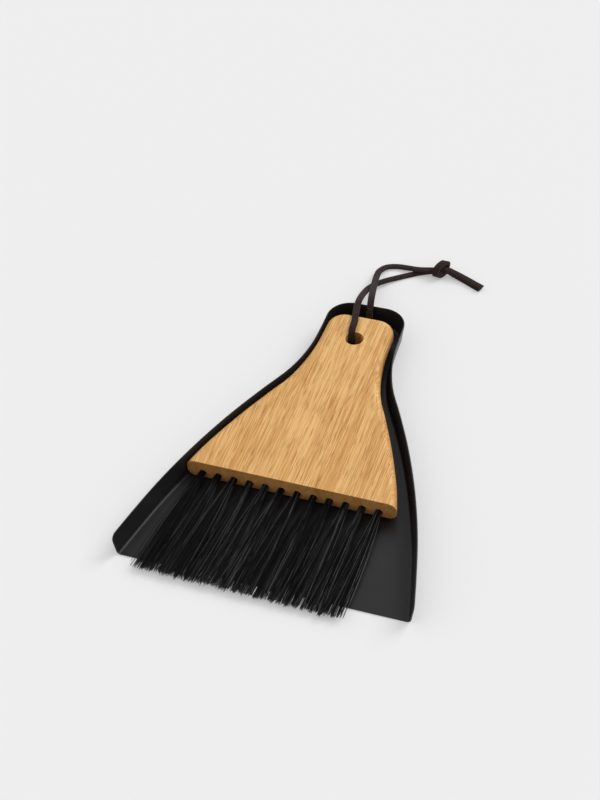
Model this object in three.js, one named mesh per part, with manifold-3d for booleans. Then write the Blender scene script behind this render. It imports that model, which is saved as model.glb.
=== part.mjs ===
// Dust pan and brush set: a bell-shaped sheet-steel tray with a flat bamboo brush lying in it.
// Units are millimetres, +Z is up. The origin is on the underside of the tray, in the middle of its
// mouth edge; +Y runs from the mouth towards the handle end, +X is to the right.

import * as THREE from "three";
import { mergeVertices } from "three/addons/utils/BufferGeometryUtils.js";
import Module from "manifold-3d";

const wasm = await Module();
wasm.setup();

// ---------- driving dimensions: tray ----------
const SHEET = 0.8; // sheet-steel thickness
const TRAY_LENGTH = 220.5; // mouth edge to the inner foot of the rear wall
const MOUTH_HALF_WIDTH = 84.2; // inner half width at the mouth
const GRIP_HALF_WIDTH = 22.7; // inner half width at the handle end
const WALL_TOP = 14.4; // height of the rim over the resting surface
const WALL_LEAN = 1.9; // how far the rim leans out past the foot of the wall
const FOLD_RADIUS = 2; // outer radius of the fold between floor and wall
const TRAY_REAR_RADIUS = 12.6; // plan radius of the two rear corners
const WALL_TIP_RADIUS = 5; // rounding of the walls' upper front corners
// [share of the length, share of the flare] from the mouth to the grip
const TRAY_FLARE = [
  [0, 1], [0.1, 0.925], [0.2, 0.841], [0.3, 0.736], [0.4, 0.611], [0.5, 0.465],
  [0.6, 0.297], [0.7, 0.121], [0.8, 0.026], [0.9, 0.002], [1, 0],
];

// ---------- driving dimensions: how the brush lies in the tray ----------
const BRUSH_FRONT_Y = 65.5; // front face of the block, behind the mouth edge
const BRUSH_SHIFT_X = -3.8; // the block lies a little left of the middle
const BRUSH_YAW = THREE.MathUtils.degToRad(-1.05);
const BRUSH_TILT = THREE.MathUtils.degToRad(0.7); // the lace under the handle lifts that end
const BRUSH_ROLL = THREE.MathUtils.degToRad(-0.75); // and its right side lies a little higher
const BRUSH_FLOAT = 1.1; // middle of the block's lower front edge over the tray floor

// ---------- driving dimensions: brush block, which follows the tray's outline ----------
const BLOCK_END_CLEARANCE = 8.5; // end of the handle to the foot of the rear wall
const BLOCK_LENGTH = TRAY_LENGTH - BRUSH_FRONT_Y - BLOCK_END_CLEARANCE;
const BLOCK_FLARE_CLEARANCE = 3.7; // block to the foot of the side wall, along the bell
const BLOCK_GRIP_CLEARANCE = 1.1; // and along the straight grip
const CLEARANCE_FADE = 0.2; // share of the flare over which one becomes the other
const BLOCK_DRAW_IN = 0.8; // how far both sides draw in towards the front face
const BLOCK_DRAW_LENGTH = 18; // and over what length
const BLOCK_THICKNESS = 12.5;
const BLOCK_EDGE_RADIUS = 5; // rounding of the sides; the front face is cut flat
const BLOCK_END_RADIUS = 11.2; // plan radius of the handle's end corners
const HANG_HOLE_RADIUS = 5.7;
const HANG_HOLE_FROM_END = 22.8; // centre of the hanging hole to the end of the handle
const HANG_HOLE_OFFSET = 0.2; // the hole sits a little right of the middle

// ---------- driving dimensions: bristles ----------
const TUFT_COUNT = 12;
const TUFT_PITCH = 9.73;
const TUFT_ROW_SHIFT = -0.4; // middle of the row, left of the block's middle
const TUFT_HOLE_RADIUS = 2.25;
const TUFT_HOLE_DEPTH = 13;
const TUFT_HOLE_DROP = 8.5; // hole axis below the top of the block
const BRISTLE_OVERHANG = 7.8; // tips past the mouth edge
const BRISTLE_LENGTH = BRUSH_FRONT_Y + BRISTLE_OVERHANG;
const TUFT_FAN = 1.017; // the bundle fans out towards the tips
const TUFT_TIP_SHIFT = -6.4; // and is brushed a little to the left
const TUFT_TIP_HEIGHT = 3.2; // middle of the tips over the resting surface
const TUFT_TIP_HALF_THICKNESS = 1.7;
const STAPLE_WIRE = 0.6; // anchor wire that holds each folded tuft
const STAPLE_WIDTH = 3.2;
const STAPLE_LEG = 2.6;

// ---------- driving dimensions: lace ----------
const LACE_DIAMETER = 1.8;
const KNOT_CENTRE = [31.2, 282, 4.4];
const KNOT_RADII = [4.1, 6.8, 4.2];

const GAP = 0.3; // clearance between pieces that touch
const OVERCUT = 5; // how far a cutter passes the face it cuts
const WELD = 1e-4; // vertices this close are one
const FLAT = 1e-6; // a ring within this height is level

// ---------- materials ----------
const steelCoat = new THREE.MeshStandardMaterial({ color: 0x17181a, roughness: 0.55, metalness: 0.35 });
const bamboo = new THREE.MeshStandardMaterial({ color: 0xd9ad6b, roughness: 0.6, metalness: 0 });
const bristle = new THREE.MeshStandardMaterial({ color: 0x1b1b1e, roughness: 0.5, metalness: 0 });
const anchorWire = new THREE.MeshStandardMaterial({ color: 0xb8babd, roughness: 0.3, metalness: 1 });
const suede = new THREE.MeshStandardMaterial({ color: 0x3c2d2a, roughness: 0.9, metalness: 0 });

// ---------- shape helpers ----------

function mesh(name, geometry, material) {
  const piece = new THREE.Mesh(geometry, material);
  piece.name = name;
  return piece;
}

function toSolid(geometry) {
  const bare = geometry.index ? geometry.clone() : geometry;
  bare.deleteAttribute("normal");
  bare.deleteAttribute("uv");
  const merged = mergeVertices(bare, WELD);
  return new wasm.Manifold(new wasm.Mesh({
    numProp: 3,
    vertProperties: new Float32Array(merged.attributes.position.array),
    triVerts: new Uint32Array(merged.index.array),
  }));
}

function fromSolid(solid) {
  const data = solid.getMesh();
  const geometry = new THREE.BufferGeometry();
  geometry.setAttribute("position", new THREE.BufferAttribute(new Float32Array(data.vertProperties), 3));
  geometry.setIndex(new THREE.BufferAttribute(new Uint32Array(data.triVerts), 1));
  geometry.computeVertexNormals();
  return geometry;
}

// Closed skin through rings of equal point count; each ring runs anticlockwise seen from its far side.
function loft(rings) {
  const count = rings[0].length;
  const positions = rings.flat().flatMap((p) => [p.x, p.y, p.z]);
  const index = [];
  for (let level = 0; level + 1 < rings.length; level += 1) {
    for (let i = 0; i < count; i += 1) {
      const a = level * count + i;
      const b = level * count + ((i + 1) % count);
      index.push(a, b, b + count, a, b + count, a + count);
    }
  }
  const capAxes = capPlane(rings[0]);
  const caps = THREE.ShapeUtils.triangulateShape(rings[0].map(capAxes), []);
  const last = (rings.length - 1) * count;
  for (const [a, b, c] of caps) {
    index.push(c, b, a);
    index.push(last + a, last + b, last + c);
  }
  const geometry = new THREE.BufferGeometry();
  geometry.setAttribute("position", new THREE.Float32BufferAttribute(positions, 3));
  geometry.setIndex(index);
  geometry.computeVertexNormals();
  return geometry;
}

// Flattens a ring for its cap: outlines lie across Z, tuft sections lie across Y and face -Y.
function capPlane(ring) {
  const heights = ring.map((p) => p.z);
  const level = Math.max(...heights) - Math.min(...heights) < FLAT;
  return level ? (p) => new THREE.Vector2(p.x, p.y) : (p) => new THREE.Vector2(p.x, p.z);
}

function cylinder(radius, height, sides) {
  return new THREE.CylinderGeometry(radius, radius, height, sides);
}

function arc(cx, cy, radius, from, to, steps) {
  const line = [];
  for (let i = 0; i <= steps; i += 1) {
    const angle = from + ((to - from) * i) / steps;
    line.push(new THREE.Vector2(cx + radius * Math.cos(angle), cy + radius * Math.sin(angle)));
  }
  return line;
}

// Moves every point of an open line sideways, to its right as it is walked.
function offsetLine(line, distance) {
  return line.map((point, i) => {
    const before = line[Math.max(i - 1, 0)];
    const after = line[Math.min(i + 1, line.length - 1)];
    const along = new THREE.Vector2().subVectors(after, before).normalize();
    return new THREE.Vector2(point.x + along.y * distance, point.y - along.x * distance);
  });
}

// Full outline from its right half: the left half is the mirror image, walked back.
function mirrored(half) {
  const left = half.map((p) => new THREE.Vector2(-p.x, p.y)).reverse();
  return [...half, ...left];
}

function atHeight(outline, z) {
  return outline.map((p) => new THREE.Vector3(p.x, p.y, z));
}

// Levels of a quarter round: [height, sideways offset] from the flat face to the upright wall.
function quarterRound(radius, startZ, wallOffset, steps, direction) {
  const levels = [];
  for (let i = 0; i <= steps; i += 1) {
    const angle = (Math.PI / 2) * (i / steps);
    levels.push([
      startZ + direction * radius * (1 - Math.cos(angle)),
      wallOffset - radius * (1 - Math.sin(angle)),
    ]);
  }
  return levels;
}

// ---------- tray ----------

const FOLD_STEPS = 3;
const CORNER_STEPS = 8;
const WALL_TIP_STEPS = 6;
const CORNER_LEAD = 1; // the side line stops this far before a rear corner starts

// Right-hand foot of the side wall: x is the inner half width, y runs from the mouth to the grip.
function traySide() {
  const flareWidth = MOUTH_HALF_WIDTH - GRIP_HALF_WIDTH;
  const stations = TRAY_FLARE.map(([share, open]) => new THREE.Vector2(
    GRIP_HALF_WIDTH + flareWidth * open,
    share * TRAY_LENGTH,
  ));
  return new THREE.SplineCurve(stations).getPoints(2 * (TRAY_FLARE.length - 1));
}

function trayHalfWidthAt(y) {
  const side = traySide();
  const next = Math.max(1, side.findIndex((p) => p.y >= y));
  const [before, after] = [side[next - 1], side[next]];
  return THREE.MathUtils.mapLinear(y, before.y, after.y, before.x, after.x);
}

function trayHalfLine() {
  const cornerY = TRAY_LENGTH - TRAY_REAR_RADIUS;
  const side = traySide().filter((p) => p.y < cornerY - CORNER_LEAD);
  const cornerX = GRIP_HALF_WIDTH - TRAY_REAR_RADIUS;
  const corner = arc(cornerX, cornerY, TRAY_REAR_RADIUS, 0, Math.PI / 2, CORNER_STEPS);
  return [...side, ...corner];
}

// One level of a skin around a half line. The front end stays on the line y = front, whatever the offset.
function levelRing(half, offset, z, front) {
  const moved = offsetLine(half, offset);
  const [first, second] = moved;
  const slope = (first.x - second.x) / (second.y - first.y);
  moved[0] = new THREE.Vector2(first.x + slope * (first.y - front), front);
  return atHeight(mirrored(moved), z);
}

function panTray() {
  const foot = trayHalfLine();
  const skin = (wall, radius, floorZ, top, front) => {
    const lean = WALL_LEAN * ((top - FOLD_RADIUS) / (WALL_TOP - FOLD_RADIUS));
    const levels = [...quarterRound(radius, floorZ, wall, FOLD_STEPS, 1), [top, wall + lean]];
    return loft(levels.map(([z, offset]) => levelRing(foot, offset, z, front)));
  };
  const body = toSolid(skin(SHEET, FOLD_RADIUS, 0, WALL_TOP, 0));
  const hollow = toSolid(skin(0, FOLD_RADIUS - SHEET, SHEET, WALL_TOP + OVERCUT, -OVERCUT));
  return fromSolid(body.subtract(hollow).subtract(wallTipCutter()));
}

// Takes the sharp upper front corner off both side walls.
function wallTipCutter() {
  const profile = new THREE.Shape();
  profile.moveTo(-OVERCUT, WALL_TOP + OVERCUT);
  profile.lineTo(-OVERCUT, WALL_TOP - WALL_TIP_RADIUS);
  profile.lineTo(0, WALL_TOP - WALL_TIP_RADIUS);
  profile.absarc(WALL_TIP_RADIUS, WALL_TOP - WALL_TIP_RADIUS, WALL_TIP_RADIUS, Math.PI, Math.PI / 2, true);
  profile.lineTo(WALL_TIP_RADIUS, WALL_TOP + OVERCUT);
  const width = 2 * (MOUTH_HALF_WIDTH + SHEET + WALL_LEAN + OVERCUT);
  const cutter = new THREE.ExtrudeGeometry(profile, {
    depth: width,
    bevelEnabled: false,
    curveSegments: WALL_TIP_STEPS,
  });
  // profile (across, up) becomes (y, z), extrusion becomes x
  cutter.applyMatrix4(new THREE.Matrix4().set(
    0, 0, 1, -width / 2,
    1, 0, 0, 0,
    0, 1, 0, 0,
    0, 0, 0, 1,
  ));
  return toSolid(cutter);
}

// ---------- brush block: its own frame has the origin under the middle of the front face ----------

const BLOCK_SIDE_STEPS = 22;
const BLOCK_ROUND_STEPS = 5;
const TUFT_HOLE_SIDES = 16;
const HANG_HOLE_SIDES = 32;

function blockHalfWidthAt(y) {
  const room = trayHalfWidthAt(BRUSH_FRONT_Y + y);
  const flare = (room - GRIP_HALF_WIDTH) / (MOUTH_HALF_WIDTH - GRIP_HALF_WIDTH);
  const fade = THREE.MathUtils.clamp(flare / CLEARANCE_FADE, 0, 1);
  const drawIn = BLOCK_DRAW_IN * Math.max(0, 1 - y / BLOCK_DRAW_LENGTH) ** 2;
  return room - drawIn - THREE.MathUtils.lerp(BLOCK_GRIP_CLEARANCE, BLOCK_FLARE_CLEARANCE, fade);
}

function blockHalfLine() {
  const endY = BLOCK_LENGTH - BLOCK_END_RADIUS;
  const side = [];
  for (let i = 0; i < BLOCK_SIDE_STEPS; i += 1) {
    const y = THREE.MathUtils.lerp(0, endY, i / BLOCK_SIDE_STEPS);
    side.push(new THREE.Vector2(blockHalfWidthAt(y), y));
  }
  const endX = blockHalfWidthAt(endY) - BLOCK_END_RADIUS;
  const end = arc(endX, endY, BLOCK_END_RADIUS, 0, Math.PI / 2, CORNER_STEPS);
  return [...side, ...end];
}

const TUFT_TIP_PITCH = TUFT_PITCH * TUFT_FAN;

function tuftX(slot, pitch, shift) {
  return (slot - (TUFT_COUNT - 1) / 2) * pitch + shift;
}

function rootXOf(slot) {
  return tuftX(slot, TUFT_PITCH, TUFT_ROW_SHIFT);
}

const TUFT_AXIS_Z = BLOCK_THICKNESS - TUFT_HOLE_DROP;
const HANG_HOLE_Y = BLOCK_LENGTH - HANG_HOLE_FROM_END;

function brushBlock() {
  const levels = [
    ...quarterRound(BLOCK_EDGE_RADIUS, 0, 0, BLOCK_ROUND_STEPS, 1),
    ...quarterRound(BLOCK_EDGE_RADIUS, BLOCK_THICKNESS, 0, BLOCK_ROUND_STEPS, -1).reverse(),
  ];
  const side = blockHalfLine();
  let solid = toSolid(loft(levels.map(([z, offset]) => levelRing(side, offset, z, 0))));
  for (let slot = 0; slot < TUFT_COUNT; slot += 1) {
    const depth = TUFT_HOLE_DEPTH + OVERCUT;
    const drill = cylinder(TUFT_HOLE_RADIUS, depth, TUFT_HOLE_SIDES);
    drill.translate(rootXOf(slot), TUFT_HOLE_DEPTH - depth / 2, TUFT_AXIS_Z);
    solid = solid.subtract(toSolid(drill));
  }
  const through = BLOCK_THICKNESS + 2 * OVERCUT;
  const hole = cylinder(HANG_HOLE_RADIUS, through, HANG_HOLE_SIDES);
  hole.rotateX(Math.PI / 2);
  hole.translate(HANG_HOLE_OFFSET, HANG_HOLE_Y, BLOCK_THICKNESS / 2);
  return fromSolid(solid.subtract(toSolid(hole)));
}

// ---------- bristle tufts and their anchor staples ----------

const TUFT_SIDES = 12;
const TUFT_STEPS = 6;
const TUFT_SPREAD_RATE = 1.6; // a tuft reaches its full width before its tips
const ROOT_RADIUS = TUFT_HOLE_RADIUS - GAP;

// Height that the tips have in the tray's frame, brought into the tilted and rolled frame of the block.
function tipHeightAt(x) {
  const droop = BRISTLE_LENGTH * Math.tan(BRUSH_TILT) + x * Math.tan(BRUSH_ROLL);
  return TUFT_TIP_HEIGHT - SHEET - BRUSH_FLOAT + droop;
}

// Elliptic section across Y.
function tuftSection(x, y, z, halfWidth, halfHeight) {
  const ring = [];
  for (let i = 0; i < TUFT_SIDES; i += 1) {
    const angle = (2 * Math.PI * i) / TUFT_SIDES;
    ring.push(new THREE.Vector3(x + halfWidth * Math.cos(angle), y, z + halfHeight * Math.sin(angle)));
  }
  return ring;
}

// Width of a tuft grows until it meets its neighbours, which it stays clear of.
function tuft(slot) {
  const rootX = rootXOf(slot);
  const tipX = tuftX(slot, TUFT_TIP_PITCH, TUFT_TIP_SHIFT);
  const tipZ = tipHeightAt(tipX);
  const foot = TUFT_HOLE_DEPTH - STAPLE_LEG - 2 * GAP;
  const rings = [
    tuftSection(rootX, foot, TUFT_AXIS_Z, ROOT_RADIUS, ROOT_RADIUS),
    tuftSection(rootX, 0, TUFT_AXIS_Z, ROOT_RADIUS, ROOT_RADIUS),
  ];
  for (let i = 1; i <= TUFT_STEPS; i += 1) {
    const along = i / TUFT_STEPS;
    const room = (TUFT_PITCH + (TUFT_TIP_PITCH - TUFT_PITCH) * along) / 2 - GAP;
    const spread = Math.min(1, TUFT_SPREAD_RATE * along);
    const halfWidth = Math.min(room, ROOT_RADIUS + (room - ROOT_RADIUS) * spread);
    const settle = along * (2 - along);
    rings.push(tuftSection(
      rootX + (tipX - rootX) * along,
      -BRISTLE_LENGTH * along,
      TUFT_AXIS_Z + (tipZ - TUFT_AXIS_Z) * settle,
      halfWidth,
      ROOT_RADIUS + (TUFT_TIP_HALF_THICKNESS - ROOT_RADIUS) * along,
    ));
  }
  return loft(rings);
}

// U-shaped wire lying across the bottom of a tuft hole, legs towards the bristles.
function staple(slot) {
  const half = STAPLE_WIDTH / 2;
  const outline = new THREE.Shape();
  outline.moveTo(-half, 0);
  outline.lineTo(half, 0);
  outline.lineTo(half, STAPLE_LEG);
  outline.lineTo(half - STAPLE_WIRE, STAPLE_LEG);
  outline.lineTo(half - STAPLE_WIRE, STAPLE_WIRE);
  outline.lineTo(-half + STAPLE_WIRE, STAPLE_WIRE);
  outline.lineTo(-half + STAPLE_WIRE, STAPLE_LEG);
  outline.lineTo(-half, STAPLE_LEG);
  outline.closePath();
  const wire = new THREE.ExtrudeGeometry(outline, { depth: STAPLE_WIRE, bevelEnabled: false });
  wire.rotateZ(Math.PI);
  wire.translate(rootXOf(slot), TUFT_HOLE_DEPTH - GAP, TUFT_AXIS_Z - STAPLE_WIRE / 2);
  return wire;
}

// ---------- lace: points chosen by hand along its middle line, in the tray's frame ----------

const LACE_UPPER_ROUTE = [
  [-4.2, 192.1, 9.9], [-4.2, 192.1, 13.4], [-4.3, 192.5, 16.6], [-4.6, 195.6, 18.2],
  [-5.2, 202.1, 17.7], [-6.6, 209.5, 17.4], [-8, 216.9, 16.7], [-8.6, 223.2, 16.1],
  [-9.1, 229.4, 14.2], [-9.5, 237.7, 10.6], [-9.3, 246.7, 6.8], [-7, 255.4, 3.7],
  [-2.1, 262.5, 2.1], [4, 268.2, 1.5], [11.4, 273.8, 1.2], [18.1, 277.7, 1.3], [23.6, 279, 2],
  [26.9, 279.6, 2.8],
];
const LACE_LOWER_ROUTE = [
  [-4.2, 192.1, 9.6], [-4.2, 192.1, 6.2], [-4.2, 192, 3.5], [-4.2, 193.1, 2.1], [-4, 196.2, 2.02],
  [-3.1, 202, 2.05], [-1.4, 208, 2.1], [0.2, 212.6, 3.6], [0.5, 215.2, 8],
  [0.2, 217.6, 13], [-0.3, 221.4, 16.3], [-1.3, 227.1, 17], [-2.7, 234.5, 15],
  [-4.5, 243.5, 11.6], [-6.2, 252.9, 8.4], [-7.7, 262.4, 5.2], [-7.9, 270.8, 2.9],
  [-4.6, 277.4, 1.7], [2.2, 280, 1.4], [9.8, 279.6, 2], [17.5, 278.4, 3.5], [22.4, 279.2, 4.6],
  [26.7, 280.4, 5.4],
];
const TAIL_ROUTES = {
  lace_tail_a: [
    [35.7, 281.4, 5.5], [40.5, 280.9, 4.2], [48.6, 278.4, 3.3], [55.5, 275.2, 3.25], [61.3, 272.4, 3.2],
  ],
  lace_tail_b: [
    [35.7, 281.2, 2.9], [40.5, 280.7, 1.8], [48.2, 278, 1.1], [54.8, 274.7, 1.05], [60.3, 271.9, 1.05],
  ],
};
const LACE_SIDES = 8;
const LACE_STEPS = 40;
const TAIL_STEPS = 8;
const KNOT_SIDES = 16;
const KNOT_STACKS = 10;

function laceTube(route, steps) {
  const curve = new THREE.CatmullRomCurve3(route.map(([x, y, z]) => new THREE.Vector3(x, y, z)));
  const section = new THREE.Shape();
  const radius = LACE_DIAMETER / 2;
  for (let i = 0; i < LACE_SIDES; i += 1) {
    const angle = (2 * Math.PI * (i + 0.5)) / LACE_SIDES;
    const move = i === 0 ? "moveTo" : "lineTo";
    section[move](radius * Math.cos(angle), radius * Math.sin(angle));
  }
  section.closePath();
  return new THREE.ExtrudeGeometry(section, { steps, extrudePath: curve, bevelEnabled: false });
}

function laceKnot() {
  const lump = new THREE.SphereGeometry(1, KNOT_SIDES, KNOT_STACKS);
  lump.scale(...KNOT_RADII);
  lump.translate(...KNOT_CENTRE);
  return lump;
}

// ---------- assembly ----------

const set = new THREE.Group();
set.add(mesh("pan_tray", panTray(), steelCoat));

const brushFrame = new THREE.Group();
brushFrame.position.set(BRUSH_SHIFT_X, BRUSH_FRONT_Y, SHEET + BRUSH_FLOAT);
brushFrame.rotation.set(BRUSH_TILT, BRUSH_ROLL, BRUSH_YAW, "ZXY");
set.add(brushFrame);
brushFrame.add(mesh("brush_block", brushBlock(), bamboo));

for (let slot = 0; slot < TUFT_COUNT; slot += 1) {
  const number = String(slot + 1).padStart(2, "0");
  brushFrame.add(mesh(`tuft_${number}`, tuft(slot), bristle));
  brushFrame.add(mesh(`staple_${number}`, staple(slot), anchorWire));
}

set.add(mesh("lace_upper", laceTube(LACE_UPPER_ROUTE, LACE_STEPS), suede));
set.add(mesh("lace_lower", laceTube(LACE_LOWER_ROUTE, LACE_STEPS), suede));
set.add(mesh("lace_knot", laceKnot(), suede));
for (const [name, route] of Object.entries(TAIL_ROUTES)) {
  set.add(mesh(name, laceTube(route, TAIL_STEPS), suede));
}

export default set;
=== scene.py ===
"""Dust pan and brush set: a powder-coated steel tray, a bamboo hand brush in it, and a suede lace.

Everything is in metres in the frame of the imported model: +Z up, the origin on the underside of the
tray in the middle of its mouth, +Y from the mouth towards the handle end.
"""

import logging
import math
from collections.abc import Callable, Iterable, Sequence
from dataclasses import dataclass, field
from enum import Enum
from itertools import pairwise
from typing import Any

import bmesh
import bpy
import numpy as np
from mathutils import Matrix, Vector


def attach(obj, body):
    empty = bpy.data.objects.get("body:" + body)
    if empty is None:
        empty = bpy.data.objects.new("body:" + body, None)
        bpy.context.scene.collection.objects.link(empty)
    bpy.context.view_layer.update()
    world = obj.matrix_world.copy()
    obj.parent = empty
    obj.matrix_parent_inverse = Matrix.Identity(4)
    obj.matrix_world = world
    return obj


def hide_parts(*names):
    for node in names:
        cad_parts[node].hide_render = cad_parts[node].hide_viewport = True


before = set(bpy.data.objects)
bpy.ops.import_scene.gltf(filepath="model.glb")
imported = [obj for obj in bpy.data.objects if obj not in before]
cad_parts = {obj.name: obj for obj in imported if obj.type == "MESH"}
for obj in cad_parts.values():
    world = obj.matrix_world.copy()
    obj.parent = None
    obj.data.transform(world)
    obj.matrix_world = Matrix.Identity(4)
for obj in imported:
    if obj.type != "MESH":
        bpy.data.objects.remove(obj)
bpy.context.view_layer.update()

log = logging.getLogger("dust_pan_set")

MM = 0.001
TOUCH = 1e-6  # two places closer than this are one
SHARP = math.radians(60)  # edges that turn more than this count as corners
SHADE_ANGLE = 30  # degrees of turn that are still shaded smooth
GOLDEN_ANGLE = 2.399963  # spreads filaments evenly over a round hole

Triple = tuple[float, float, float]
Colour = Triple
Socket = bpy.types.NodeSocket
Piece = bpy.types.Object
Material = bpy.types.Material


# modelling by hand


class Element(Enum):
    """What a pick selects in edit mode."""

    VERTS = "VERT"
    EDGES = "EDGE"


class Work:
    """One object on the bench, shaped with operators."""

    def __init__(self, name: str) -> None:
        """Takes the primitive that was just added and names it.

        Args:
            name: The name the finished piece keeps.
        """
        self.piece = bpy.context.active_object
        self.piece.name = name
        self.piece.data.name = name

    @staticmethod
    def take_all() -> None:
        """Selects everything in edit mode."""
        bpy.ops.mesh.select_all(action="SELECT")

    @staticmethod
    def clear() -> None:
        """Leaves edit mode and deselects every object."""
        if bpy.context.mode != "OBJECT":
            bpy.ops.object.mode_set(mode="OBJECT")
        bpy.ops.object.select_all(action="DESELECT")

    def hold(self) -> None:
        """Makes the piece the only selected object, in object mode."""
        self.clear()
        self.piece.select_set(True)
        bpy.context.view_layer.objects.active = self.piece

    def edit(self) -> None:
        """Opens the piece in edit mode."""
        self.hold()
        bpy.ops.object.mode_set(mode="EDIT")

    def pick(self, kind: Element, test: Callable[[Any], bool]) -> None:
        """Selects only the elements that pass a test.

        Args:
            kind: Verts or edges.
            test: Says whether one element is wanted.
        """
        bpy.ops.mesh.select_mode(type=kind.value)
        bpy.ops.mesh.select_all(action="DESELECT")
        shape = bmesh.from_edit_mesh(self.piece.data)
        shape.normal_update()
        items = shape.verts if kind is Element.VERTS else shape.edges
        for item in [item for item in items if test(item)]:
            item.select_set(True)
        bmesh.update_edit_mesh(self.piece.data)

    def extrude(self, x: float, y: float, z: float) -> None:
        """Extrudes the selection and moves it by x, y and z."""
        bpy.ops.mesh.extrude_region_move(TRANSFORM_OT_translate={"value": (x, y, z)})

    def scale_width(self, ratio: float, y: float) -> None:
        """Scales the selection's width about the middle line at y."""
        bpy.ops.transform.resize(value=(ratio, 1, 1), center_override=(0, y, 0))

    def round_edges(self, radius: float, segments: int) -> None:
        """Bevels the selected edges to a round of that radius."""
        bpy.ops.mesh.bevel(offset=radius, segments=segments, affect="EDGES", clamp_overlap=True)

    def round_corners(self, radius: float, segments: int) -> None:
        """Bevels the selected vertices to plan arcs of that radius."""
        bpy.ops.mesh.bevel(offset=radius, segments=segments, affect="VERTICES", clamp_overlap=True)
        Work.take_all()
        bpy.ops.mesh.remove_doubles(threshold=10 * TOUCH)

    def outwards(self) -> None:
        """Recalculates all normals of a closed shape."""
        Work.take_all()
        bpy.ops.mesh.normals_make_consistent(inside=False)

    def modify(self, kind: str, **settings: Any) -> None:
        """Adds a modifier, sets it and applies it.

        Args:
            kind: The modifier's type.
            **settings: Its values by name.
        """
        self.hold()
        bpy.ops.object.modifier_add(type=kind)
        modifier = self.piece.modifiers[-1]
        for key, value in settings.items():
            setattr(modifier, key, value)
        bpy.ops.object.modifier_apply(modifier=modifier.name)

    def smooth(self, angle: float) -> None:
        """Shades smooth up to an angle in degrees, with flat faces kept flat."""
        self.hold()
        bpy.ops.object.shade_smooth_by_angle(angle=math.radians(angle))
        self.modify("WEIGHTED_NORMAL", keep_sharp=True)

    def place(self, matrix: Matrix) -> None:
        """Moves the mesh into the tray's frame, so that the object stays at the origin."""
        self.hold()
        self.piece.matrix_world = matrix
        bpy.ops.object.transform_apply(location=True, rotation=True, scale=True)


def middle(item: Any) -> Vector:
    """Returns the middle of a vertex, an edge or a face."""
    if isinstance(item, bmesh.types.BMVert):
        return item.co
    return sum((vert.co for vert in item.verts), Vector()) / len(item.verts)


def sweep_plan(name: str, stations: Sequence[tuple[float, float]], z: float) -> Work:
    """Lays out a flat plan, station by station from the front to the back.

    Args:
        name: The piece's name.
        stations: Half width and y of each cross line.
        z: Height of the plan.

    Returns:
        The piece, open in edit mode.
    """
    Work.clear()
    bpy.ops.mesh.primitive_plane_add(size=1, location=(0, 0, z))
    work = Work(name)
    work.place(work.piece.matrix_world.copy())
    work.edit()
    for sign, (half, y) in zip((-1, 1), stations[:2]):
        work.pick(Element.VERTS, lambda vert: vert.co.y * sign > 0 and abs(abs(vert.co.y) - 0.5) < TOUCH)
        work.scale_width(2 * half, 0)
        bpy.ops.transform.translate(value=(0, y - sign / 2, 0))
    last = stations[1][1]
    work.pick(Element.EDGES, lambda edge: all(abs(vert.co.y - last) < TOUCH for vert in edge.verts))
    for (half, y), (next_half, next_y) in pairwise(stations[1:]):
        work.extrude(0, next_y - y, 0)
        work.scale_width(next_half / half, next_y)
    return work


def dressed(piece: Piece, material: Material) -> Piece:
    """Gives a piece one material and returns the piece."""
    piece.data.materials.clear()
    piece.data.materials.append(material)
    return piece


def from_arrays(name: str, points: np.ndarray, faces: Iterable[Sequence[int]]) -> Piece:
    """Makes an object from points and faces, shaded smooth.

    Args:
        name: The piece's name.
        points: One row for each vertex.
        faces: Vertex numbers of each face.

    Returns:
        The new object, linked to the scene.
    """
    mesh = bpy.data.meshes.new(name)
    mesh.from_pydata(points.tolist(), [], [tuple(int(i) for i in face) for face in faces])
    mesh.validate()
    mesh.shade_smooth()
    piece = bpy.data.objects.new(name, mesh)
    bpy.context.scene.collection.objects.link(piece)
    return piece


# finishes


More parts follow.
